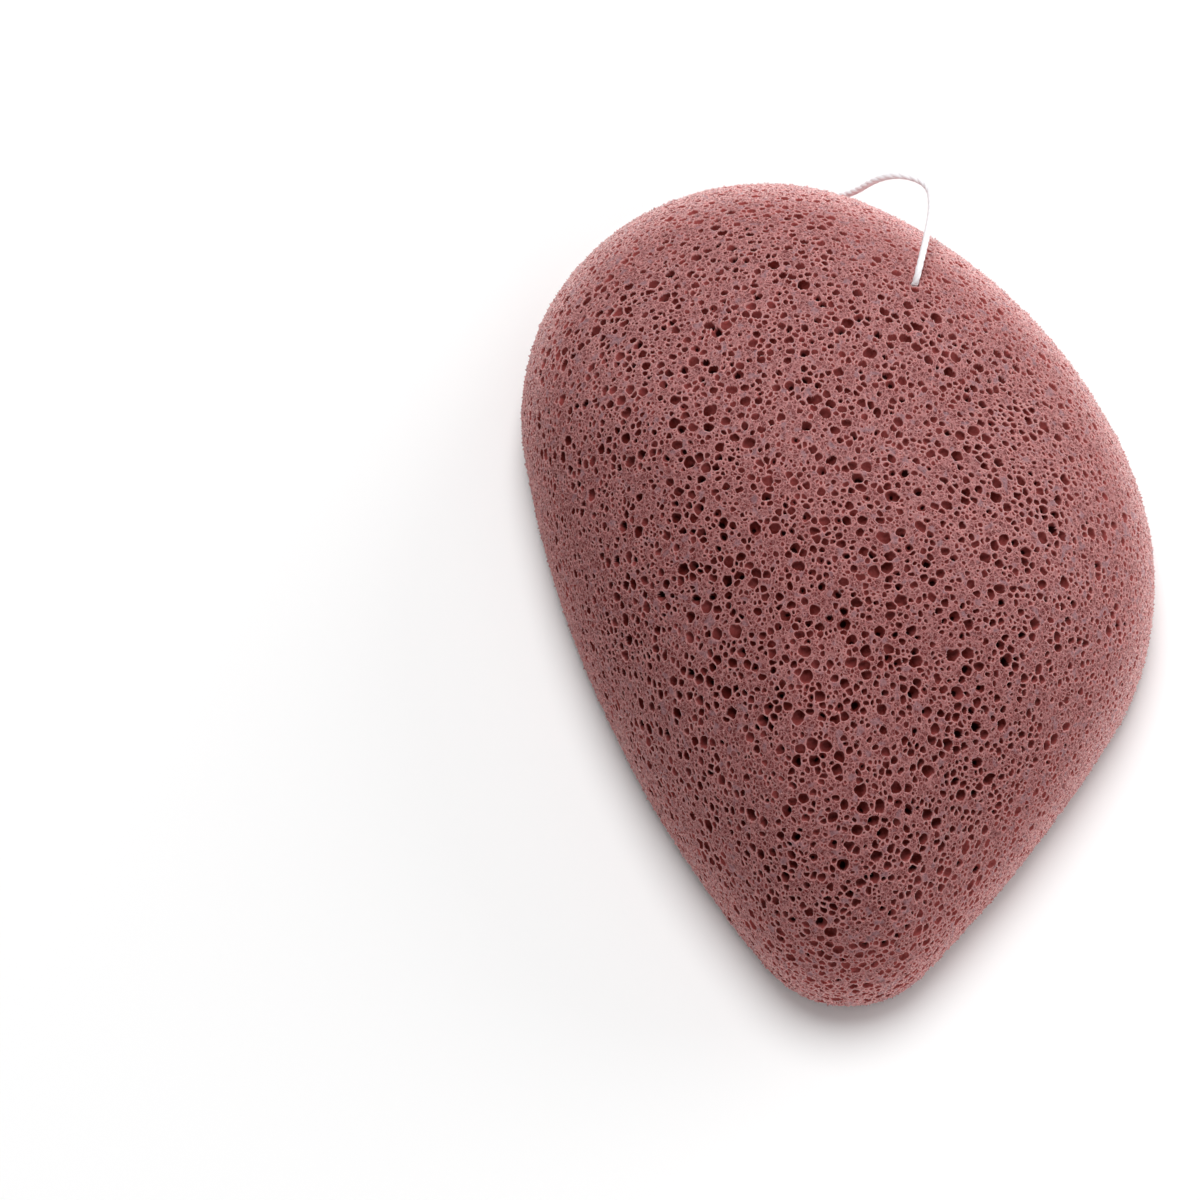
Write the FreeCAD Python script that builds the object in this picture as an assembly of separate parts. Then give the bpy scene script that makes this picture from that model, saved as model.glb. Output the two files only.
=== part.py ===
# A teardrop konjac sponge: a moulded foam body that lies on its flat base, and a cotton
# thread stitched through its wide end and knotted into a loop to hang it up by.
import FreeCAD, Part
import math
import os

os.makedirs("parts", exist_ok=True)
V = FreeCAD.Vector

# Foam outline, mm: six tangent arcs, seen from above with the tip toward -Y.
sponge_length = 86.5
sponge_width = 64.0
tip_radius = 10.2
tip_offset = 1.3           # the tip's centre to the right of the middle
left_shoulder_radius = 24.7
right_shoulder_radius = 30.5
right_shoulder_y = 0.5     # how far back the right shoulder's centre lies
back_radius = 52.0
left_flank_radius = 119.0
right_flank_radius = 142.0

# Foam profile, mm: a short steep wall, then a dome to a crown left of the middle.
sponge_height = 28.5
wall_height = 4.5
crown_x = -5.0
crown_y = -2.0
crown_power = 2.4          # 2 gives an ellipse, more gives a flatter crown
crown_sections = 8
crown_last_angle = 84.0    # degrees up the dome at which it is capped
base_inset = 0.7           # the cut edge of the base is drawn in
base_rise = 1.6

# Thread, mm: where the stitch comes out on the dome and on the back, and its fit in the foam.
thread_diameter = 0.7
tunnel_clearance = 0.05
front_exit_x = 8.0
front_exit_y = 25.6
back_exit_x = -5.5
back_exit_z = 4.2
mouth_radius = 0.95        # the foam opens a little where the thread leaves it
mouth_depth = 1.2

# Knot, mm: two wraps side by side on the stitch's line, behind the back exit.
knot_length = 2.4
knot_radius = 1.05
knot_waist = 0.8
knot_gap = 2.5             # from the back exit to the knot's middle
tail_lengths = (4.2, 3.2)

thread_radius = thread_diameter / 2
tunnel_radius = thread_radius + tunnel_clearance


# Outline circles
def tangent_centre(first, second, radius):
    # centre of the arc that holds both circles inside it and touches them, on their left
    (ax, ay, ar), (bx, by, br) = first, second
    span = math.hypot(bx - ax, by - ay)
    far_a, far_b = radius - ar, radius - br
    along = (far_a ** 2 - far_b ** 2 + span ** 2) / (2 * span)
    aside = math.sqrt(far_a ** 2 - along ** 2)
    ux, uy = (bx - ax) / span, (by - ay) / span
    return (ax + along * ux - aside * uy, ay + along * uy + aside * ux, radius)


tip = (tip_offset, -sponge_length / 2 + tip_radius, tip_radius)
right_shoulder = (sponge_width / 2 - right_shoulder_radius, right_shoulder_y, right_shoulder_radius)
left_shoulder = (
    -sponge_width / 2 + left_shoulder_radius,
    sponge_length / 2 - left_shoulder_radius,
    left_shoulder_radius,
)
circles = [
    tip,
    tangent_centre(tip, right_shoulder, right_flank_radius),
    right_shoulder,
    tangent_centre(right_shoulder, left_shoulder, back_radius),
    left_shoulder,
    tangent_centre(left_shoulder, tip, left_flank_radius),
]


def joint_angle(one, other):
    # direction, from either centre, of the point where two of the circles touch
    small, large = sorted((one, other), key=lambda circle: circle[2])
    return math.atan2(small[1] - large[1], small[0] - large[0])


def outline_wire(scale, inset, z):
    # the outline shrunk toward the crown's foot by a factor, and drawn in by a length
    edges = []
    for index, circle in enumerate(circles):
        start = joint_angle(circles[index - 1], circle)
        end = joint_angle(circle, circles[(index + 1) % len(circles)])
        sweep = (end - start) % (2 * math.pi)
        points = []
        for angle in (start, start + sweep / 2, start + sweep):
            x = circle[0] + (circle[2] - inset) * math.cos(angle)
            y = circle[1] + (circle[2] - inset) * math.sin(angle)
            points.append(V(crown_x + (x - crown_x) * scale, crown_y + (y - crown_y) * scale, z))
        edges.append(Part.Arc(*points).toShape())
    return Part.Wire(edges)


# Foam body
sections = [outline_wire(1, base_inset, 0), outline_wire(1, 0, base_rise)]
for index in range(crown_sections):
    angle = math.radians(crown_last_angle * index / (crown_sections - 1))
    rise = math.sin(angle) / math.sin(math.radians(crown_last_angle))
    scale = math.cos(angle) ** (2 / crown_power)
    sections.append(outline_wire(scale, 0, wall_height + (sponge_height - wall_height) * rise))
foam = Part.makeLoft(sections, True, False)


def surface_point(start, end):
    # the last point of the foam on the way from start to end
    inside = foam.common(Part.makeLine(start, end))
    return min((vertex.Point for vertex in inside.Vertexes), key=lambda point: point.distanceToPoint(end))


front_exit = surface_point(
    V(front_exit_x, front_exit_y, wall_height), V(front_exit_x, front_exit_y, 2 * sponge_height)
)
back_exit = surface_point(V(back_exit_x, 0, back_exit_z), V(back_exit_x, sponge_length, back_exit_z))
stitch_axis = (front_exit - back_exit).normalize()
knot_middle = back_exit - stitch_axis * knot_gap

tunnel_run = 3 * mouth_depth
tunnel = Part.makeCylinder(
    tunnel_radius,
    front_exit.distanceToPoint(back_exit) + 2 * tunnel_run,
    back_exit - stitch_axis * tunnel_run,
    stitch_axis,
)
mouths = [
    Part.makeCone(tunnel_radius, 2 * mouth_radius - tunnel_radius, 2 * mouth_depth,
                  place - outward * mouth_depth, outward)
    for place, outward in ((front_exit, stitch_axis), (back_exit, stitch_axis * -1))
]
sponge_body = foam.cut([tunnel] + mouths)
sponge_body.exportStep("parts/sponge_body.step")


# Thread
def tube(route, radius):
    # straight runs joined by tangent arcs, each as large as its two runs allow
    edges, radii, here = [], [], route[0]
    for before, corner, after in zip(route, route[1:], route[2:]):
        back, ahead = before - corner, after - corner
        reach = 0.45 * min(back.Length, ahead.Length)
        half_turn = (math.pi - back.getAngle(ahead)) / 2
        radii.append(reach / math.tan(half_turn))
        back.normalize()
        ahead.normalize()
        entry, leave = corner + back * reach, corner + ahead * reach
        inward = (back + ahead).normalize()
        middle = corner + inward * (radii[-1] / math.cos(half_turn) - radii[-1])
        edges.append(Part.LineSegment(here, entry).toShape())
        edges.append(Part.Arc(entry, middle, leave).toShape())
        here = leave
    edges.append(Part.LineSegment(here, route[-1]).toShape())
    path = Part.Wire(edges)
    disc = Part.Wire(Part.makeCircle(radius, route[0], route[1] - route[0]))
    solid = path.makePipeShell([disc], True, False)
    share = solid.Volume / (math.pi * radius ** 2 * path.Length)
    print("tube length %.2f, radii" % path.Length, [round(r, 2) for r in radii], "volume share %.4f" % share)
    return solid


# the loop's route: out of the front exit, up over the rim and round behind to the knot
loop_route = [front_exit, front_exit + stitch_axis * 1.3] + [
    front_exit + V(*offset)
    for offset in (
        (1.7, 0.1, 1.35),
        (1.4, 4.0, -0.35),
        (1.9, 9.8, -3.6),
        (1.5, 13.5, -5.6),
        (-2.4, 14.8, -6.6),
    )
] + [knot_middle + V(*offset) for offset in ((7.3, -2.75, 5.6), (3.4, -0.1, 1.6), (0, 0, 0))]
hanging_loop = tube(loop_route, thread_radius)
hanging_loop.exportStep("parts/hanging_loop.step")

thread_stitch = Part.makeCylinder(
    thread_radius, front_exit.distanceToPoint(knot_middle), knot_middle, stitch_axis
)
thread_stitch.exportStep("parts/thread_stitch.step")

# Knot with its two cut tails
half = knot_length / 2
profile = Part.Wire([
    Part.LineSegment(V(0, 0, -half), V(knot_waist / 2, 0, -half)).toShape(),
    Part.Arc(V(knot_waist / 2, 0, -half), V(knot_radius, 0, -half / 2), V(knot_waist, 0, 0)).toShape(),
    Part.Arc(V(knot_waist, 0, 0), V(knot_radius, 0, half / 2), V(knot_waist / 2, 0, half)).toShape(),
    Part.LineSegment(V(knot_waist / 2, 0, half), V(0, 0, half)).toShape(),
    Part.LineSegment(V(0, 0, half), V(0, 0, -half)).toShape(),
])
knot = Part.Face(profile).revolve(V(0, 0, 0), V(0, 0, 1), 360)
knot.Placement = FreeCAD.Placement(knot_middle, FreeCAD.Rotation(V(0, 0, 1), stitch_axis))
tails = []
for length, outward, droop in zip(tail_lengths, (V(-1, 0.45, 0.1), V(0.25, 1, -0.1)), (0.25, 0.35)):
    outward.normalize()
    bend = knot_middle + outward * (length * 0.55)
    end = bend + (outward + V(0.3, 0.2, -droop)).normalize() * (length * 0.45)
    tails.append(tube([knot_middle, bend, end], thread_radius))
loop_knot = knot.fuse(tails).removeSplitter()
loop_knot.exportStep("parts/loop_knot.step")

for name, shape in (("sponge_body", sponge_body), ("hanging_loop", hanging_loop),
                    ("thread_stitch", thread_stitch), ("loop_knot", loop_knot)):
    box = shape.BoundBox
    print(name, "solids", len(shape.Solids), "valid", shape.isValid(), "volume %.1f" % shape.Volume,
          "box %.2f..%.2f, %.2f..%.2f, %.2f..%.2f" % (box.XMin, box.XMax, box.YMin, box.YMax, box.ZMin, box.ZMax))
print("front exit", front_exit, "back exit", back_exit, "axis", stitch_axis, "knot", knot_middle)
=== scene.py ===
import bpy
import math
import numpy as np
from mathutils import Matrix, Vector


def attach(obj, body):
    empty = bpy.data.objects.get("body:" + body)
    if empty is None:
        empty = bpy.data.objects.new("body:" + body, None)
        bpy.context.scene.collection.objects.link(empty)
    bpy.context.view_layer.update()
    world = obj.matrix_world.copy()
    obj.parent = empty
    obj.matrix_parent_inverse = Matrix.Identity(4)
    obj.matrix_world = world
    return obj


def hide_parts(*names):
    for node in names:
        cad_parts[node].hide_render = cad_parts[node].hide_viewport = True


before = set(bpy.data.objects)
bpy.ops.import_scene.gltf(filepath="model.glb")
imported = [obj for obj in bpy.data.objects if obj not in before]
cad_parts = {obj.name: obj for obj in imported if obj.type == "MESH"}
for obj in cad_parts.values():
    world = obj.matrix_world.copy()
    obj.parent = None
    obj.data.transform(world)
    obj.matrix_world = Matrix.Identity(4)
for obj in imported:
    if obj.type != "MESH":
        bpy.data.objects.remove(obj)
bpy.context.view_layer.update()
scene = bpy.context.scene
scene.view_settings.view_transform = "Standard"
mm = 0.001


# camera: steep view from the tip's side, sponge in the right half of the frame
view = {
    "target": (0, 0, 10 * mm),  # middle of the foam
    "elevation": 68,  # degrees above the floor
    "distance": 500 * mm,
    "frameWidth": 120 * mm,  # floor width that the frame spans at the target
    "imageSize": 1200,
    "targetPixel": (835, 565),
    "sensorWidth": 36,
    "clipStart": 10 * mm,
}


def placeCamera(v):
    lift = math.radians(v["elevation"])
    toEye = Vector((0, -math.cos(lift), math.sin(lift)))
    right = Vector((1, 0, 0))
    up = toEye.cross(right)
    eye = Vector(v["target"]) + toEye * v["distance"]
    perPixel = v["frameWidth"] / v["imageSize"]
    half = v["imageSize"] / 2
    aim = Vector(v["target"]) + right * ((half - v["targetPixel"][0]) * perPixel)
    aim = aim + up * ((v["targetPixel"][1] - half) * perPixel)
    back = (eye - aim).normalized()
    side = up.cross(back).normalized()
    data = bpy.data.cameras.new("photoCamera")
    data.sensor_width = v["sensorWidth"]
    data.lens = v["sensorWidth"] * v["distance"] / v["frameWidth"]
    data.clip_start = v["clipStart"]
    camera = bpy.data.objects.new("photoCamera", data)
    turn = Matrix((side, back.cross(side), back)).transposed().to_4x4()
    camera.matrix_world = Matrix.Translation(eye) @ turn
    scene.collection.objects.link(camera)
    scene.camera = camera


placeCamera(view)
print("camera placed")


# shader maths: a wrapped socket, so that masks are written as expressions
class Wire:
    def __init__(self, nodes, socket):
        self.nodes = nodes
        self.socket = socket

    def combine(self, op, a, b):
        return self.nodes.node("ShaderNodeMath", {"operation": op}, {0: a, 1: b})

    def __add__(self, other):
        return self.combine("ADD", self, other)

    def __sub__(self, other):
        return self.combine("SUBTRACT", self, other)

    def __mul__(self, other):
        return self.combine("MULTIPLY", self, other)

    def __radd__(self, other):
        return self.combine("ADD", other, self)

    def __rsub__(self, other):
        return self.combine("SUBTRACT", other, self)

    def brighter(self, by):
        return self.nodes.node("ShaderNodeVectorMath", {"operation": "SCALE"}, {0: self, "Scale": by})

    def above(self, low, high):
        # smooth step from 0 at low to 1 at high, and a falling one where low is the larger
        inputs = {"Value": self, "From Min": low, "From Max": high}
        return self.nodes.node("ShaderNodeMapRange", {"interpolation_type": "SMOOTHSTEP"}, inputs)


class Finish:
    def __init__(self, name):
        self.material = bpy.data.materials.new(name)
        self.material.use_nodes = True
        self.tree = self.material.node_tree
        self.tree.nodes.clear()

    def node(self, kind, settings=None, inputs=None, out=0):
        made = self.tree.nodes.new(kind)
        for key, value in (settings or {}).items():
            setattr(made, key, value)
        for key, value in (inputs or {}).items():
            if isinstance(value, Wire):
                self.tree.links.new(value.socket, made.inputs[key])
            else:
                made.inputs[key].default_value = value
        return Wire(self, made.outputs[out]) if made.outputs else None

    def blend(self, factor, low, high):
        settings = {"data_type": "RGBA", "clamp_factor": True}
        return self.node("ShaderNodeMix", settings, {0: factor, 6: low, 7: high}, out=2)

    def layers(self, colour, rows):
        # each row is a mask, its strength and what it lays over the colour
        for mask, strength, over in rows:
            colour = self.blend(mask * strength, colour, over)
        return colour

    def attribute(self, name):
        return self.node("ShaderNodeAttribute", {"attribute_name": name}, out="Fac")

    def place(self):
        return self.node("ShaderNodeTexCoord", out="Object")

    def height(self):
        return self.node("ShaderNodeSeparateXYZ", inputs={0: self.place()}, out="Z")

    def noise(self, scale, detail, rough=0.5):
        return self.node("ShaderNodeTexNoise", inputs={
            "Vector": self.place(), "Scale": scale, "Detail": detail, "Roughness": rough})

    def bubbles(self, scale):
        # a packing of tiny bubbles: distance from their walls, and one random number for each bubble
        inputs = {"Vector": self.place(), "Scale": scale}
        wall = self.node("ShaderNodeTexVoronoi", {"feature": "DISTANCE_TO_EDGE"}, inputs)
        colour = self.node("ShaderNodeTexVoronoi", {"feature": "F1"}, inputs, out="Color")
        return wall, self.node("ShaderNodeSeparateColor", inputs={0: colour})

    def bump(self, height, strength, depth):
        return self.node("ShaderNodeBump", inputs={
            "Height": height, "Strength": strength, "Distance": depth}, out="Normal")

    def surface(self, **sockets):
        named = {key.replace("_", " "): value for key, value in sockets.items()}
        shader = self.node("ShaderNodeBsdfPrincipled", inputs=named)
        self.node("ShaderNodeOutputMaterial", inputs={"Surface": shader})
        return self.material


def fromScreen(r, g, b):
    # sRGB bytes to a linear colour
    c = np.array([r, g, b]) / 255
    c = np.where(c <= 0.04045, c / 12.92, ((c + 0.055) / 1.055) ** 2.4)
    return (*[float(x) for x in c], 1.0)


# meshes from arrays
def meshFrom(name, points, groups, values=None, uv=None):
    # groups are arrays of faces, each with one number of corners
    corners = np.concatenate([g.ravel() for g in groups]).astype(np.int32)
    sizes = np.concatenate([np.full(len(g), g.shape[1]) for g in groups])
    starts = np.concatenate([[0], np.cumsum(sizes)[:-1]]).astype(np.int32)
    mesh = bpy.data.meshes.new(name)
    mesh.vertices.add(len(points))
    mesh.vertices.foreach_set("co", np.ascontiguousarray(points, dtype=np.float32).ravel())
    mesh.loops.add(len(corners))
    mesh.loops.foreach_set("vertex_index", corners)
    mesh.polygons.add(len(sizes))
    mesh.polygons.foreach_set("loop_start", starts)
    mesh.polygons.foreach_set("use_smooth", np.ones(len(sizes), dtype=bool))
    mesh.update(calc_edges=True)
    for key, data in (values or {}).items():
        layer = mesh.attributes.new(key, "FLOAT", "POINT")
        layer.data.foreach_set("value", np.ascontiguousarray(data, dtype=np.float32).ravel())
    if uv is not None:
        layer = mesh.uv_layers.new(name="OFBake")
        layer.uv.foreach_set("vector", np.ascontiguousarray(uv[corners], dtype=np.float32).ravel())
    made = bpy.data.objects.new(name, mesh)
    scene.collection.objects.link(made)
    return made


def gridFaces(at):
    return np.stack([at[:-1, :-1], at[1:, :-1], at[1:, 1:], at[:-1, 1:]], -1).reshape(-1, 4)


def gridRing(at):
    # the grid's border, once round
    return np.concatenate([at[0, :-1], at[:-1, -1], at[-1, :0:-1], at[:0:-1, 0]])


def gridMap(n, left, low, wide, tall):
    # texture places of a square grid, in one rectangle of the map
    u, v = np.meshgrid(np.linspace(0, 1, n), np.linspace(0, 1, n), indexing="ij")
    return np.stack([left + wide * u, low + tall * v], -1).reshape(-1, 2)


def unit(v):
    return v / np.maximum(np.linalg.norm(v, axis=-1, keepdims=True), 1e-12)


def between(span, share):
    return span[0] + (span[1] - span[0]) * share


def ramp(x, start, width):
    # smooth step from 0 at start to 1 where the width ends
    t = np.clip((x - start) / width, 0, 1)
    return t * t * (3 - 2 * t)


def runAlong(line):
    # length of a line from its start to each of its points
    return np.concatenate([[0], np.cumsum(np.linalg.norm(np.diff(line, axis=0), axis=1))])


def pointsAt(line, share):
    # points at shares of a line's length
    along = runAlong(line)
    return np.stack([np.interp(share * along[-1], along, column) for column in line.T], -1)


# foam: teardrop outline of six tangent arcs under a dome, mm
foam = {
    "length": 86.5,
    "width": 64.0,
    "height": 28.5,
    "tipRadius": 10.2,
    "tipOffset": 1.3,
    "leftShoulder": 24.7,
    "rightShoulder": 30.5,
    "rightShoulderY": 0.5,
    "back": 52.0,
    "leftFlank": 119.0,
    "rightFlank": 142.0,
    "wall": 4.5,
    "crown": (-5.0, -2.0),
    "crownPower": 2.4,
    "meanReach": 35.2,  # from the crown to the rim, sets how the grid's rings are spaced
    "baseInset": 0.7,
    "baseRise": 1.6,
    "baseGap": 0.2,  # how far inside the dome's lower edge the base ends
    "arcSteps": 400,
    "domeSteps": 600,
    "wallSteps": 60,
    "grid": 861,  # points along each side of the dome's grid, the base has half as many
    "seed": 11,
    "mouths": [((7.98, 25.45, 21.85), 0.6), ((-5.5, 43.2, 4.2), 0.7)],  # where the thread comes out
    "edgeFade": 0.7,  # the relief fades out over this height above the base edge
    "baseFade": 0.02,  # and over this share of the base
    "baseCoarse": 0.25,
    "domeMap": (0.005, 0.005, 0.83, 0.99),  # left, low, width and height in the texture map
    "baseMap": (0.85, 0.005, 0.145, 0.2),
}


def tangentCentre(first, second, radius):
    # centre of the arc that holds both circles and touches them
    (ax, ay, ar), (bx, by, br) = first, second
    span = math.hypot(bx - ax, by - ay)
    along = ((radius - ar) ** 2 - (radius - br) ** 2 + span ** 2) / (2 * span)
    aside = math.sqrt((radius - ar) ** 2 - along ** 2)
    ux, uy = (bx - ax) / span, (by - ay) / span
    return (ax + along * ux - aside * uy, ay + along * uy + aside * ux, radius)


def outlineCircles(f):
    tip = (f["tipOffset"], -f["length"] / 2 + f["tipRadius"], f["tipRadius"])
    right = (f["width"] / 2 - f["rightShoulder"], f["rightShoulderY"], f["rightShoulder"])
    left = (-f["width"] / 2 + f["leftShoulder"], f["length"] / 2 - f["leftShoulder"], f["leftShoulder"])
    return [
        tip,
        tangentCentre(tip, right, f["rightFlank"]),
        right,
        tangentCentre(right, left, f["back"]),
        left,
        tangentCentre(left, tip, f["leftFlank"]),
    ]


def outlineAt(f, share):
    # points at shares of the outline's length, counted from the tip
    circles = outlineCircles(f)
    runs = []
    for k, (x, y, r) in enumerate(circles):
        ends = []
        for other in (circles[k - 1], circles[(k + 1) % len(circles)]):
            small, large = sorted(((x, y, r), other), key=lambda c: c[2])
            ends.append(math.atan2(small[1] - large[1], small[0] - large[0]))
        sweep = (ends[1] - ends[0]) % (2 * math.pi)
        turn = ends[0] + sweep * np.linspace(0, 1, f["arcSteps"])
        runs.append(np.stack([x + r * np.cos(turn), y + r * np.sin(turn)], 1))
    return pointsAt(np.concatenate([*runs, runs[0][:1]]), np.mod(share, 1))


def meridian(f, share):
    # scale toward the crown and height, at shares of the way from the crown down to the base edge:
    # cos(t)^(2 / power) and wall + (height - wall) sin(t) over the dome, then straight down the wall
    t = np.linspace(math.pi / 2, 0, f["domeSteps"])
    low = np.linspace(f["wall"], 0, f["wallSteps"])[1:]
    scale = np.concatenate([np.cos(t) ** (2 / f["crownPower"]), np.ones(len(low))])
    high = np.concatenate([f["wall"] + (f["height"] - f["wall"]) * np.sin(t), low])
    along = runAlong(np.stack([scale * f["meanReach"], high], 1))
    at = share * along[-1]
    return np.interp(at, along, scale), np.interp(at, along, high)


def squareToDisc(n):
    # concentric map: each square ring of the grid becomes a circle, at an even rate round it
    a, b = np.meshgrid(np.linspace(-1, 1, n), np.linspace(-1, 1, n), indexing="ij")
    wide = np.abs(a) > np.abs(b)
    r = np.where(wide, a, b)
    safe = np.where(r == 0, 1, r)
    turn = np.where(wide, math.pi / 4 * b / safe, math.pi / 2 - math.pi / 4 * a / safe)
    turn = np.where(r < 0, turn + math.pi, turn)
    return np.abs(r), np.mod(turn / (2 * math.pi), 1)


def outlineArms(f, turn):
    # from the crown's foot to the outline, and how long that is
    arm = outlineAt(f, turn) - np.array(f["crown"])
    return arm, np.linalg.norm(arm, axis=-1)


def domeGrid(f, share, turn):
    # point = crown + arm * scale, at the meridian's height, drawn in at the base edge
    scale, high = meridian(f, share)
    arm, reach = outlineArms(f, turn)
    drawn = f["baseInset"] * np.clip(1 - high / f["baseRise"], 0, 1) ** 2
    flat = np.array(f["crown"]) + arm * (scale - drawn / reach)[..., None]
    return np.concatenate([flat, high[..., None]], -1)


def baseGrid(f, share, turn):
    # the same outline filled flat, a hair inside the dome's lower edge
    arm, reach = outlineArms(f, turn)
    inset = f["baseInset"] + f["baseGap"]
    flat = np.array(f["crown"]) + arm * (share * (1 - inset / reach))[..., None]
    return np.concatenate([flat, np.zeros(share.shape + (1,))], -1)


def gridNormals(p):
    # normals, and the area of the grid's cell at each point
    n = np.cross(np.gradient(p, axis=0), np.gradient(p, axis=1))
    return unit(n), np.linalg.norm(n, axis=-1)


def ripple(p, wave, rng):
    # smooth noise between about -1 and 1: a sum of sines that run in random directions
    count, spread, swell = 14, (0.7, 1.5), 0.6
    total = np.zeros(p.shape[:-1])
    for _ in range(count):
        way = rng.normal(size=3)
        way *= 2 * math.pi / (wave * rng.uniform(*spread) * np.linalg.norm(way))
        total += np.sin(p @ way + rng.uniform(0, 2 * math.pi))
    return total / math.sqrt(count / 2) * swell


# pores, mm: radius range, tries per square mm, share kept at the fine rims, share that is open
foam["poreKinds"] = [
    {"radius": (0.46, 0.68), "tries": 0.27, "atRim": 0.10, "open": 0.98},
    {"radius": (0.34, 0.46), "tries": 0.75, "atRim": 0.30, "open": 0.95},
    {"radius": (0.24, 0.34), "tries": 1.60, "atRim": 0.75, "open": 0.80},
    {"radius": (0.18, 0.25), "tries": 7.00, "atRim": 0.55, "open": 0.30},
    {"radius": (0.13, 0.18), "tries": 7.00, "atRim": 0.45, "open": 0.30},
]
foam["pore"] = {
    "bend": (0.9, 0.075),  # outlines wander over this length, this far
    "around": (1.3, 0.35),  # how far from its middle a pore is worked out: in radii, and mm more
    "sizePower": 1.4,  # above 1, the small pores of a kind are the more common
    "overlap": (0.30, 0.85),  # nearest that a pore's middle comes to another's edge, in its own radii
    "stretch": (0.80, 1.25),
    "depth": (0.9, 1.5),  # in radii
    "closedDepth": 0.25,  # under a membrane
    "window": 0.35,  # share of the larger pores that open into a second, deeper bubble
    "windowFrom": 0.24,  # radius from which a pore may have a window
    "windowAside": (0.20, 0.55),  # the window's place, size, slope and depth, in the pore's radii
    "windowSize": (0.38, 0.68),
    "windowSlope": 0.4,
    "windowDepth": 0.7,
    "wallHalf": 0.045,  # half of the wall left between two pores that meet
    "snap": 0.055,  # points nearer than this to a pore's edge are moved onto it
    "snapSlope": 0.3,  # except where the distance to the edge changes more slowly than this
    "toneDice": 0.5,  # how light a pore is: by chance, if small, among fine pores and on one side
    "toneSmall": (0.34, 1.2),  # below this radius, per mm
    "toneFine": 0.5,
    "toneLean": 0.4,
    "mouthDice": (0.9, 0.2, 0.9, 0.1, 0.3, 0.8, 0.5, 0.0),  # stands in for chance at the thread's mouths
    "swells": [(0.45, 0.026), (1.2, 0.03), (9.0, 0.05)],  # waves of the surface: length and height
    "rough": 0.014,  # grain of the surface
    "crumb": (0.15, 0.02, 0.10),  # share of points that stick out, and how far
    "crumbClear": 0.07,  # none nearer than this to a pore
    "farthest": 0.4,  # distances from an edge are kept up to this
}


class PoreField:
    # for each point of a grid: how far it lies inside its deepest pore, the next one and the window,
    # which pore that is, and how far over to the pore's lighter side
    def __init__(self, p, spec, coarse, fray, rng):
        self.spec, self.coarse, self.fray, self.rng = spec, coarse, fray, rng
        self.normal, self.cell = gridNormals(p)
        wave, far = spec["bend"]
        self.bent = p + far * np.stack([ripple(p, wave, rng) for _ in range(3)], -1)
        self.steps = [np.linalg.norm(np.gradient(p, axis=k), axis=-1) for k in (0, 1)]
        self.outside = -9.0  # mm, far from every pore
        self.first, self.second, self.deeper = np.full((3, *self.cell.shape), self.outside)
        self.lean = np.zeros(self.cell.shape)
        self.owner = np.zeros(self.cell.shape, dtype=np.int32)
        self.radius, self.opened, self.depth, self.tone = [], [], [], []

    def add(self, i, j, r, isOpen, dice):
        # dice: 0 depth, 1 window's place, 2 its size, 3 to 5 way of the stretch, 4 tone, 6 stretch, 7 window
        s = self.spec
        wide = s["around"][0] * r + s["around"][1]
        a, b = (int(wide / step[i, j]) + 2 for step in self.steps)
        win = (slice(max(i - a, 0), i + a + 1), slice(max(j - b, 0), j + b + 1))
        off = self.bent[win] - self.bent[i, j]
        across = unit(np.cross(self.normal[i, j], dice[3:6] - 0.5))
        pull = between(s["stretch"], dice[6]) ** 2 - 1
        inside = r - np.sqrt((off ** 2).sum(-1) + pull * (off @ across) ** 2)
        hole = np.full(inside.shape, self.outside)
        if r > s["windowFrom"] and dice[7] < s["window"]:
            at = np.cross(across, self.normal[i, j]) * (r * between(s["windowAside"], dice[1]))
            hole = r * between(s["windowSize"], dice[2]) - np.linalg.norm(off - at, axis=-1)
        was = self.first[win].copy()
        better = inside > was
        self.second[win] = np.maximum(self.second[win], np.where(better, was, inside))
        self.first[win] = np.where(better, inside, was)
        self.owner[win] = np.where(better, len(self.radius), self.owner[win])
        self.lean[win] = np.where(better, (off @ across) / r, self.lean[win])
        self.deeper[win] = np.where(better, hole, self.deeper[win])
        self.radius.append(r)
        self.opened.append(isOpen)
        self.depth.append(r * between(s["depth"], dice[0]) / self.fray[i, j])
        small, perMm = s["toneSmall"]
        tone = s["toneDice"] * dice[4] + perMm * max(small - r, 0)
        self.tone.append(tone + s["toneFine"] * (1 - self.coarse[i, j]))

    def scatter(self, kinds):
        area = self.cell.sum()
        chance = np.cumsum(self.cell.ravel()) / area
        for kind in kinds:
            count = int(area * kind["tries"])
            spots = np.searchsorted(chance, self.rng.random(count))
            sizes = between(kind["radius"], self.rng.random(count) ** self.spec["sizePower"])
            for spot, r, dice in zip(spots, sizes, self.rng.random((count, 9))):
                i, j = divmod(int(spot), len(self.cell))
                kept = between((kind["atRim"], 1), self.coarse[i, j])
                crowded = self.first[i, j] > -r * between(self.spec["overlap"], dice[1])
                if dice[8] <= kept and not crowded:
                    self.add(i, j, r, dice[3] < kind["open"], dice)


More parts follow.
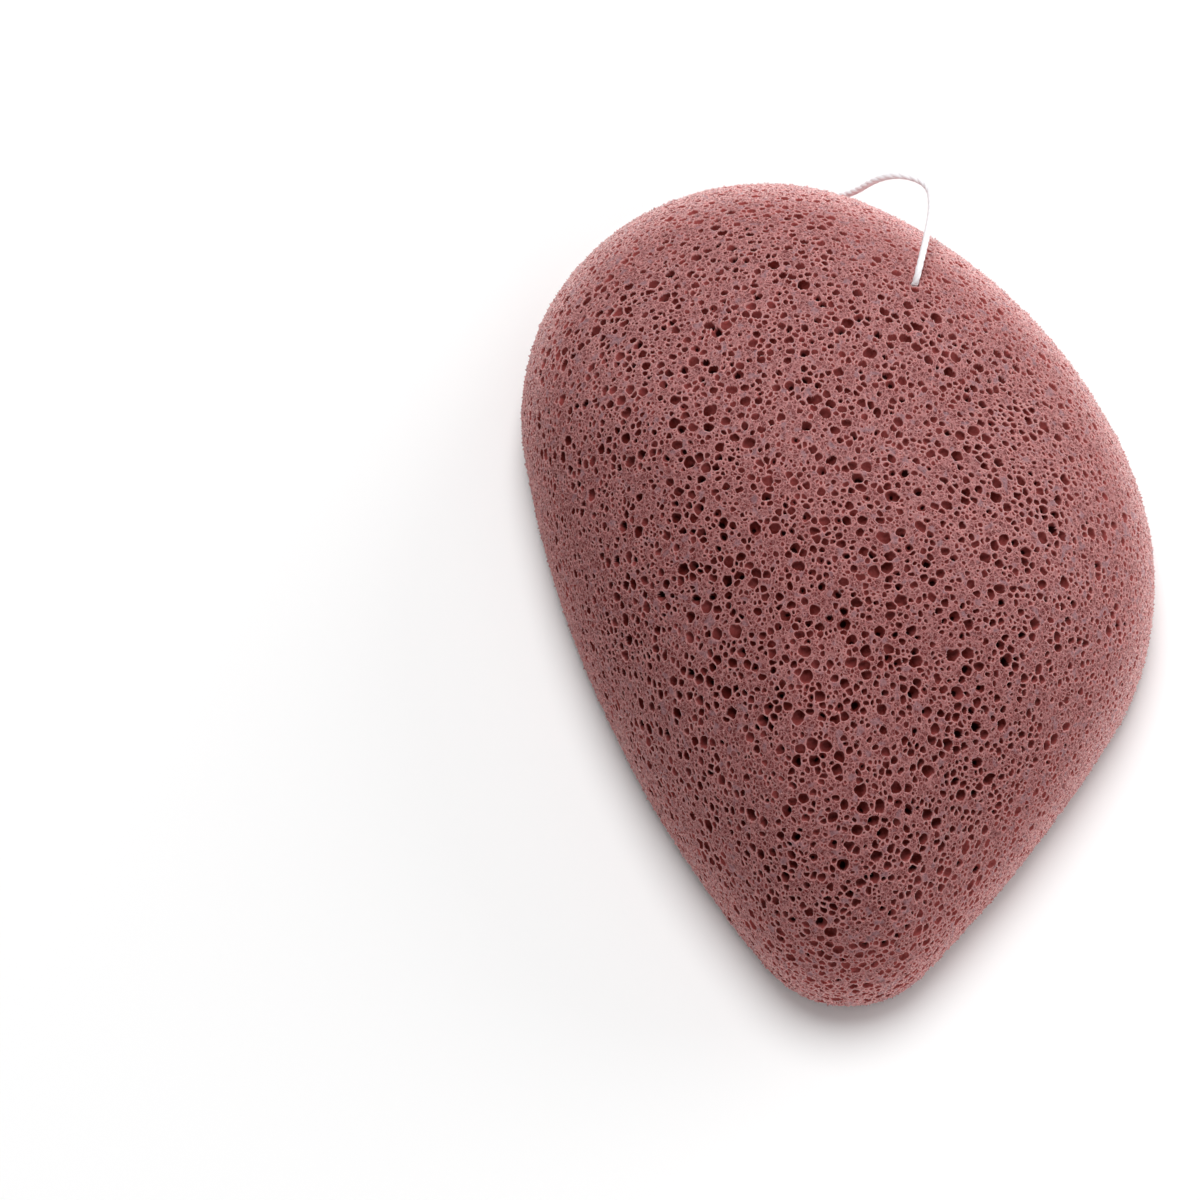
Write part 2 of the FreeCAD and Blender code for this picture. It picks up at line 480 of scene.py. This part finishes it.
def snapToEdges(p, inside, reach, slowest):
    # slide along the surface's gradient of the distance: g = a tu + b tv, with the metric of tu and tv
    tu, tv = np.gradient(p, axis=0), np.gradient(p, axis=1)
    du, dv = np.gradient(inside, axis=0), np.gradient(inside, axis=1)
    uu, uv, vv = (tu * tu).sum(-1), (tu * tv).sum(-1), (tv * tv).sum(-1)
    det = np.maximum(uu * vv - uv ** 2, 1e-12)
    slope = ((vv * du - uv * dv) / det)[..., None] * tu + ((uu * dv - uv * du) / det)[..., None] * tv
    steep = (slope ** 2).sum(-1)
    near = (np.abs(inside) < reach) & (steep > slowest)
    slide = np.where(near, -inside / np.maximum(steep, slowest), 0)[..., None] * slope
    return slide, np.where(near, 0, inside)


def bowl(full):
    return np.sqrt(1 - (1 - full) ** 2)


def carvePores(f, p, mouths, coarse, fray, fade, rng):
    # bubbles cut open by the surface: sink = depth * sqrt(1 - (1 - in / r)^2), walls where two of them meet
    s = f["pore"]
    field = PoreField(p, s, coarse, fray, rng)
    for place, r in mouths:
        spot = np.argmin(((p - np.array(place)) ** 2).sum(-1))
        field.add(*divmod(int(spot), len(p)), r, True, np.array(s["mouthDice"]))
    field.scatter(f["poreKinds"])
    radius, depth, tone, isOpen = (
        np.array(each)[field.owner] for each in (field.radius, field.depth, field.tone, field.opened))
    inside = np.minimum(field.first, (field.first - field.second) * 0.5 - s["wallHalf"])
    slide, inside = snapToEdges(p, inside, s["snap"], s["snapSlope"])
    pitShare = (field.cell * (inside > 0)).sum() / field.cell.sum()
    print("pores", len(field.radius), "open", int(sum(field.opened)), "pit share", round(float(pitShare), 3))
    holeFull = np.clip(field.deeper / (s["windowSlope"] * radius), 0, 1) * (inside > 0) * isOpen
    sink = bowl(np.clip(inside / radius, 0, 1)) * np.where(isOpen, depth, s["closedDepth"] * radius)
    sink = sink + bowl(holeFull) * s["windowDepth"] * radius
    values = {
        "inset": np.clip(inside, -s["farthest"], s["farthest"]),
        "deep": np.clip(field.deeper, -s["farthest"], s["farthest"]),
        "closed": 1.0 - isOpen,
        "tone": tone + s["toneLean"] * field.lean,
    }
    grainy, wavy, lumpy = (ripple(p, wave, rng) * high for wave, high in s["swells"])
    share, low, high = s["crumb"]
    crumbs = (rng.random(inside.shape) < share) * rng.uniform(low, high, inside.shape) * fray
    crumbs = (crumbs + rng.normal(size=inside.shape) * s["rough"]) * (inside < -s["crumbClear"])
    rise = grainy * fray + wavy + lumpy + crumbs - sink
    return p + slide * fade[..., None] + field.normal * (rise * fade)[..., None], values


# zones of the dome: pairs are the start and width of a ramp, most of them along the way down from the crown
foam["zone"] = {
    "fineToward": (0.75, 0.66),  # back and right rims have finer pores
    "fineSide": (-0.5, 0.9),
    "fineRim": (0.90, 0.32),
    "fineReach": 0.46,  # how much further in they begin on that side
    "tipSide": (0.5, 0.4),  # large pores again near the tip
    "tipFrom": (0.5, 0.3),
    "coarse": 0.75,
    "coarseTip": 0.3,
    "coarsePatches": [(13.0, 0.24), (4.5, 0.18)],  # larger and finer stretches: length and strength
    "browTurn": 0.11,  # the dome turns steep earlier at the back than at the tip
    "fray": (0.62, 0.2),
    "frayTip": 0.16,
    # paler rims and tip: partly the finer skin's own colour, partly painted light
    "pale": (0.54, 0.36),
    "paleTip": 0.108,
    # painted glow at the rims, as if light came through them from behind
    "glow": (0.67, 0.19),
    "glowTurn": (0.72, 0.28),  # at the sides, and how much more at the back
    "leftToward": (-1.5, -0.5),  # the left rim is less pale and glows less: painted shade on that side
    "leftSide": (0.35, 1.0),
    "leftLoss": (0.7, 0.8),  # of the paleness and of the glow
    "paintedShadeToward": (-0.5, -0.85),  # painted shade, darker toward the front left, in mm from the middle
    "paintedShade": (-6.125, 17.5),
    "paintedShadeEnd": (0.60, 0.25),
    "paintedShadeLoss": 0.8,
}


def foamZones(f, dome, share, rng):
    # how coarse and how frayed the dome is, and where shade, paleness and glow are painted; the paleness is
    # partly the fine rims' own colour
    z = f["zone"]
    way = unit(dome[..., :2] - np.array(f["crown"]))
    fineSide = ramp(way @ np.array(z["fineToward"]), *z["fineSide"])
    atRim = ramp(share + z["fineReach"] * fineSide, *z["fineRim"])
    tipSide = ramp(-way[..., 1], *z["tipSide"]) * ramp(share, *z["tipFrom"])
    patches = sum(ripple(dome, wave, rng) * high for wave, high in z["coarsePatches"])
    coarse = np.clip((z["coarse"] + patches + z["coarseTip"] * tipSide) * (1 - atRim), 0, 1)
    brow = share + z["browTurn"] * way[..., 1]
    fray = 1 + ramp(brow + z["frayTip"] * tipSide, *z["fray"])
    leftness = ramp(way @ np.array(z["leftToward"]), *z["leftSide"])
    paleLoss, glowLoss = z["leftLoss"]
    atSide, atBack = z["glowTurn"]
    # painted shade: darker toward the front left, less of it near the rims
    paintedShade = ramp(dome[..., :2] @ np.array(z["paintedShadeToward"]), *z["paintedShade"])
    shades = {
        "paintedShade": paintedShade * (1 - z["paintedShadeLoss"] * ramp(share, *z["paintedShadeEnd"])),
        "paleAndPaintedLight": ramp(brow + z["paleTip"] * tipSide, *z["pale"]) * (1 - paleLoss * leftness),
        "glow": ramp(brow, *z["glow"]) * (1 - glowLoss * leftness) * (atSide + atBack * way[..., 1]),
    }
    return coarse, fray, shades


def foamPiece(f):
    rng = np.random.default_rng(f["seed"])
    share, turn = squareToDisc(f["grid"])
    dome = domeGrid(f, share, turn)
    coarse, fray, shades = foamZones(f, dome, share, rng)
    fade = np.clip(dome[..., 2] / f["edgeFade"], 0, 1)
    top, values = carvePores(f, dome, f["mouths"], coarse, fray, fade, rng)
    top[..., 2] = np.maximum(top[..., 2], 0)
    values.update(shades)
    share, turn = squareToDisc(f["grid"] // 2 + 1)
    base = baseGrid(f, share, turn)
    plain = np.ones(share.shape)
    fade = np.clip((1 - share) / f["baseFade"], 0, 1)
    bottom, baseValues = carvePores(f, base, [], plain * f["baseCoarse"], plain, fade, rng)
    bottom[..., 2] = np.maximum(-bottom[..., 2], 0)
    baseValues.update({key: plain * 0 for key in shades})
    n, half = len(dome), len(base)
    topAt = np.arange(n * n).reshape(n, n)
    baseAt = n * n + np.arange(half * half).reshape(half, half)
    outer, inner = gridRing(topAt), gridRing(baseAt)
    even, odd, after = outer[::2], outer[1::2], np.roll(outer[::2], -1)
    ahead = np.roll(inner, -1)
    strip = np.concatenate([  # joins the dome's edge to the base's, which has half as many points
        np.stack([even, odd, inner], 1),
        np.stack([odd, ahead, inner], 1),
        np.stack([odd, after, ahead], 1),
    ])
    points = np.concatenate([top.reshape(-1, 3), bottom.reshape(-1, 3)]) * mm
    values = {k: np.concatenate([values[k].ravel(), baseValues[k].ravel()]) for k in values}
    groups = [gridFaces(topAt), gridFaces(baseAt)[:, ::-1], strip]
    uv = np.concatenate([gridMap(n, *f["domeMap"]), gridMap(half, *f["baseMap"])])
    return meshFrom("foamBody", points, groups, values, uv)


# foam colours as screen colours, and the scales of its noises and bubbles, per metre
foam["tint"] = {
    "lit": (117, 61, 62),
    # painted shade: the lit red darkened
    "paintedShade": (92, 36, 36),
    "pale": (150, 93, 93),
    "patch": (152, 95, 94),
    "filmDark": (98, 43, 43),
    "filmLight": (134, 80, 81),
    "filmPale": (150, 91, 91),
    "blotchDark": (96, 41, 41),
    "blotchLight": (175, 118, 118),
    "spot": (94, 39, 38),
    "dot": (92, 39, 39),
    "bubble": (98, 42, 41),
    "wall": (187, 133, 132),
    "wallGlow": (222, 174, 172),
    "speck": (212, 166, 164),
    "mist": (146, 117, 124),
    # pale pore edges: the thin walls' own paler colour and a painted highlight
    "rim": (192, 138, 136),
    # a further wash of painted shade
    "paintedShadeWash": (104, 38, 36),
    # painted glints where the rims glow
    "paintedRimGlint": (242, 214, 212),
    "pitDark": (82, 26, 23),
    "pitLight": (148, 72, 70),
    # painted shade in the deeper holes
    "paintedHoleShade": (26, 5, 4),
    # the base edge's darker crust and a painted contact shadow
    "baseCrustAndPaintedShade": (84, 58, 58),
}
foam["scale"] = {
    "patches": 130, "mist": 1100, "net": 1700, "blotch": 2300, "cells": 2700, "dots": 4600, "specks": 5200}


def foamFinish(f):
    m = Finish("redClayFoam")
    tint = {key: fromScreen(*colour) for key, colour in f["tint"].items()}
    scale = f["scale"]
    inset, deep, closed, tone = (m.attribute(k) for k in ("inset", "deep", "closed", "tone"))
    paintedShade, paleAndPaintedLight, glow = (m.attribute(k) for k in ("paintedShade", "paleAndPaintedLight", "glow"))
    patches = m.noise(scale["patches"], detail=3)
    blotch = m.noise(scale["blotch"], detail=3, rough=0.6)
    mist = m.noise(scale["mist"], detail=0)
    specks = m.noise(scale["specks"], detail=2, rough=0.6)
    cellWall, cellDice = m.bubbles(scale["cells"])
    netWall, netDice = m.bubbles(scale["net"])
    dotWall, dotDice = m.bubbles(scale["dots"])
    covered = inset.above(0.0, 0.06)
    pit = covered * (1 - closed)
    # painted shade: near black where a pore opens into a deeper bubble
    paintedHoleShade = deep.above(0.0, 0.09) * pit
    # pale ring round each pore's mouth: partly the thin walls' own colour, partly a painted highlight
    rim = inset.above(-0.10, -0.03) * (1 - inset.above(-0.01, 0.06)) * (1 - closed * 0.8)
    # near the base edge: darker crust and painted contact shadow
    low = 1 - m.height().above(0.1 * mm, 1.1 * mm)
    film = m.blend(cellDice, tint["filmDark"], tint["filmLight"])
    # membranes take the painted light of the pale rims too
    film = m.blend(paleAndPaintedLight * 0.6, film, tint["filmPale"])
    # walls paler under the painted glow
    wall = m.blend(glow, tint["wall"], tint["wallGlow"])
    # pore insides: the foam's deeper red, lighter under the painted light and darker under the painted shade
    light = tone + (blotch - 0.5) * 0.9 + paleAndPaintedLight * 0.75 - paintedShade * 0.15
    inside = m.blend(light, tint["pitDark"], tint["pitLight"])
    # painted shade toward the front left, then the paler rims (partly painted light), then the foam's own
    # marks
    colour = m.layers(m.blend(paintedShade, tint["lit"], tint["paintedShade"]), [
        (paleAndPaintedLight, 1.0, tint["pale"]),
        (patches.above(0.4, 0.7), 0.2, tint["patch"]),
        (covered * closed, 0.85, film),  # membranes over small bubbles
        (blotch.above(0.50, 0.34), 0.65, tint["blotchDark"]),
        (blotch.above(0.54, 0.70), 0.6, tint["blotchLight"]),
        (cellDice.above(0.5, 0.7) * cellWall.above(0.04, 0.12), 0.65, tint["spot"]),
        (dotDice.above(0.6, 0.8) * dotWall.above(0.04, 0.14), 0.45, tint["dot"]),
        (netDice.above(0.5, 0.8) * netWall.above(0.1, 0.3), 0.3, tint["bubble"]),
        (1 - cellWall.above(0.02, 0.10), 0.4, wall),
        (1 - netWall.above(0.03, 0.14), 0.55, wall),
        (specks.above(0.58, 0.72), 0.8, tint["speck"]),
        (mist.above(0.60, 0.74), 0.6, tint["mist"]),  # thin dry film
        (rim, 0.75, tint["rim"]),
        # more painted shade toward the front left
        (paintedShade, 0.2, tint["paintedShadeWash"]),
    ])
    # painted glow brightens the rims, with painted glints on the specks
    colour = m.layers(colour.brighter(1 + glow * 0.45), [
        (specks.above(0.46, 0.66) * glow, 0.7, tint["paintedRimGlint"]),
        (pit, 1.0, inside),
        (paintedHoleShade, 0.9, tint["paintedHoleShade"]),
        (low, 0.6, tint["baseCrustAndPaintedShade"]),
    ])
    grain = m.bump(specks - cellWall, strength=0.5, depth=0.05 * mm)
    return m.surface(
        Base_Color=colour, Roughness=1.0, Normal=grain, Specular_IOR_Level=0.0, Subsurface_Weight=0.5,
        Subsurface_Radius=(1.0, 0.45, 0.42), Subsurface_Scale=1.2 * mm)  # thin walls let light through


foamBody = foamPiece(foam)
foamBody.data.materials.append(foamFinish(foam))
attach(foamBody, "sponge")
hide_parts("sponge_body")
print("foam made")


# thread, mm: a free loop from the front exit over the rim to the knot, and a stitch through the foam
thread = {
    "diameter": 0.7,
    "length": 38.0,
    "plies": 3,
    "plyAside": 0.26,  # in the thread's radii
    "plyRadius": 0.74,
    "lay": 3.0,  # one full twist
    "sides": 9,
    "step": 0.07,
    "frontExit": (8.0, 25.6, 21.7865),
    "knot": (-6.692, 44.764, 2.647),
    "between": [  # the loop's route from the front exit to the knot
        (8.15, 25.95, 22.34),
        (8.45, 27.2, 22.54),
        (8.95, 29.9, 21.35),
        (9.8, 35.3, 18.3),
        (9.5, 39.4, 16.5),
        (5.2, 40.8, 15.7),
        (0.9, 41.6, 7.9),
        (-3.2, 44.4, 4.0),
    ],
    "stitchRun": (0.0, 0.5, 0.88),  # shares of the straight way from the knot to the front exit
    "stitchTurn": (0.45, 0.55, 1.1),  # then it turns to leave square to the dome
    "knotDiameter": 0.62,
    "knotSize": 0.21,
    "knotStart": 0.35,  # how far into its turn the knot begins and ends
    "knotSteps": 40,
    "tails": [(3.2, (-1, 0.1, 0), 0.2), (2.8, (0.5, 0.6, -0.5), 0.2)],  # length, direction, fall
    "tailShares": (0.55, 0.97),  # where along it a tail bends and ends
    "tailSway": 0.1,
    "fibre": 9000,  # scale of the cotton's noise, per metre
    "dim": (248, 246, 250),  # screen colours
    "bright": (255, 254, 255),
}


def routeLine(name, points, step):
    # points every step along the smooth NURBS line of a route
    curve = bpy.data.curves.new(name, "CURVE")
    curve.dimensions = "3D"
    spline = curve.splines.new("NURBS")
    spline.points.add(len(points) - 1)
    spline.points.foreach_set("co", np.c_[np.array(points) * mm, np.ones(len(points))].ravel())
    spline.order_u = 3
    spline.use_endpoint_u = True
    spline.resolution_u = 64
    holder = bpy.data.objects.new(name, curve)
    scene.collection.objects.link(holder)
    bpy.context.view_layer.update()
    sampled = bpy.data.meshes.new_from_object(holder)
    line = np.empty(len(sampled.vertices) * 3)
    sampled.vertices.foreach_get("co", line)
    bpy.data.objects.remove(holder)
    bpy.data.curves.remove(curve)
    bpy.data.meshes.remove(sampled)
    line = line.reshape(-1, 3) / mm
    return pointsAt(line, np.linspace(0, 1, int(runAlong(line)[-1] / step)))


def frameAlong(line):
    # two directions square to the line, carried along it without twisting
    way = unit(np.gradient(line, axis=0))
    side = np.empty_like(way)
    aslant = (0.3, 0.1, 1)  # along none of the lines
    side[0] = unit(np.cross(way[0], aslant))
    for k in range(1, len(line)):
        side[k] = unit(side[k - 1] - way[k] * (side[k - 1] @ way[k]))
    return side, np.cross(way, side)


def twistedThread(t, name, line):
    # each ply is a tube of radius plyRadius R on a helix: line + plyAside R (cos, sin) of the lay's turn
    r = t["diameter"] / 2
    side, over = frameAlong(line)
    run = runAlong(line)
    ring = np.linspace(0, 2 * math.pi, t["sides"], endpoint=False)
    spokes = np.cos(ring)[None, :, None] * side[:, None] + np.sin(ring)[None, :, None] * over[:, None]
    points, faces, count = [], [], 0
    for ply in range(t["plies"]):
        turn = 2 * math.pi * (run / t["lay"] + ply / t["plies"])
        middle = line + t["plyAside"] * r * (np.cos(turn)[:, None] * side + np.sin(turn)[:, None] * over)
        tube = middle[:, None] + t["plyRadius"] * r * spokes
        caps = [np.repeat(end[:, None], t["sides"], 1) for end in (middle[:1], middle[-1:])]
        tube = np.concatenate([caps[0], tube, caps[1]])
        at = count + np.arange(tube.shape[0] * tube.shape[1]).reshape(tube.shape[:2])
        nextTo = np.roll(at, -1, 1)
        faces.append(np.stack([at[:-1], nextTo[:-1], nextTo[1:], at[1:]], -1).reshape(-1, 4))
        points.append(tube.reshape(-1, 3))
        count += at.size
    return meshFrom(name, np.concatenate(points) * mm, faces)


def knotLine(t, way):
    # open overhand knot: (sin u + 2 sin 2u, cos u - 2 cos 2u, -1.3 sin 3u), its ends led out as tails
    u = np.linspace(t["knotStart"], 2 * math.pi - t["knotStart"], t["knotSteps"])
    x, y = np.sin(u) + 2 * np.sin(2 * u), np.cos(u) - 2 * np.cos(2 * u)
    shape = np.stack([x, y, -1.3 * np.sin(3 * u)], 1)
    along = unit(way)
    across = unit(np.cross(along, (0, 0, 1)))
    middle = np.array(t["knot"])
    body = middle + t["knotSize"] * shape @ np.stack([across, np.cross(along, across), along])
    bendShare, endShare = t["tailShares"]
    tails = []
    for length, out, fall in t["tails"]:
        out = unit(np.array(out))
        end = middle + out * length * endShare + (t["tailSway"], t["tailSway"], -fall)
        tails.append(np.stack([middle + out * length * bendShare, end]))
    return np.concatenate([tails[0][::-1], body, tails[1]])


def threadFinish(t):
    m = Finish("whiteCotton")
    fibre = m.noise(t["fibre"], detail=4, rough=0.7)
    shade = m.blend(fibre.above(0.35, 0.7), fromScreen(*t["dim"]), fromScreen(*t["bright"]))
    grain = m.bump(fibre, strength=0.4, depth=0.03 * mm)
    return m.surface(Base_Color=shade, Roughness=0.8, Normal=grain, Specular_IOR_Level=0.2)


cotton = threadFinish(thread)
loopRoute = [thread["frontExit"], *thread["between"], thread["knot"]]
loopLine = routeLine("loopRoute", loopRoute, thread["step"])
loopThread = twistedThread(thread, "loopThread", loopLine)

frontExit, knotAt = np.array(thread["frontExit"]), np.array(thread["knot"])
stitchWay = frontExit - knotAt
stitchRoute = [knotAt + share * stitchWay for share in thread["stitchRun"]]
stitchRoute += [frontExit - thread["stitchTurn"], frontExit]
stitchLine = routeLine("stitchRoute", stitchRoute, thread["step"] * 2)
stitchThread = twistedThread(thread, "stitchThread", stitchLine)

knotRoute = routeLine("knotRoute", knotLine(thread, stitchWay), thread["step"])
knotThread = twistedThread({**thread, "diameter": thread["knotDiameter"]}, "knotThread", knotRoute)

threadPieces = {"hanging_loop": loopThread, "thread_stitch": stitchThread, "loop_knot": knotThread}
for node, piece in threadPieces.items():
    piece.data.materials.append(cotton)
    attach(piece, "loop")
    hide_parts(node)
print("thread made")


# floor and light: a white table, a softbox high behind, a low window on the right, a fill from the front
# and a pale room; lamps stand at degrees above the floor and degrees aside from the back to the right
studio = {
    "floorSize": 4.0,
    "floorDrop": 0.02 * mm,  # the table lies this far under the foam
    "floorWhite": 0.96,
    "floorRoughness": 0.8,
    "lamps": {
        "softbox": {"size": 0.55, "distance": 1.1, "elevation": 71, "aside": -2, "power": 8.6},
        "window": {"size": 1.4, "distance": 1.3, "elevation": 16, "aside": 58, "power": 8.0},
        "fill": {"size": 1.0, "distance": 1.2, "elevation": 25, "aside": 160, "power": 3.0},
    },
    "roomLight": 0.28,
}


def floorPiece(s):
    half = s["floorSize"] / 2
    u = np.linspace(-half, half, 3)
    x, y = np.meshgrid(u, u, indexing="ij")
    points = np.stack([x, y, np.full_like(x, -s["floorDrop"])], -1).reshape(-1, 3)
    made = meshFrom("whiteTable", points, [gridFaces(np.arange(9).reshape(3, 3))])
    m = Finish("whiteTable")
    white = (*[s["floorWhite"]] * 3, 1)
    made.data.materials.append(m.surface(Base_Color=white, Roughness=s["floorRoughness"]))


def softLamp(name, spec):
    lift, aside = math.radians(spec["elevation"]), math.radians(spec["aside"])
    flat = math.cos(lift)
    toLamp = Vector((flat * math.sin(aside), flat * math.cos(aside), math.sin(lift)))
    data = bpy.data.lights.new(name, "AREA")
    data.shape = "DISK"
    data.size = spec["size"]
    data.energy = spec["power"]
    lamp = bpy.data.objects.new(name, data)
    lamp.location = toLamp * spec["distance"]
    lamp.rotation_euler = toLamp.to_track_quat("Z", "Y").to_euler()
    scene.collection.objects.link(lamp)


def paleRoom(level):
    # plain white to the camera, a dimmer white as light
    world = bpy.data.worlds.new("paleRoom")
    world.use_nodes = True
    tree = world.node_tree
    background = tree.nodes["Background"]
    background.inputs["Color"].default_value = (1, 1, 1, 1)
    seen = tree.nodes.new("ShaderNodeLightPath")
    strength = tree.nodes.new("ShaderNodeMapRange")
    strength.inputs["To Min"].default_value = level
    strength.inputs["To Max"].default_value = 1.0
    tree.links.new(seen.outputs["Is Camera Ray"], strength.inputs["Value"])
    tree.links.new(strength.outputs[0], background.inputs["Strength"])
    scene.world = world


floorPiece(studio)
for name, spec in studio["lamps"].items():
    softLamp(name, spec)
paleRoom(studio["roomLight"])
print("studio made")
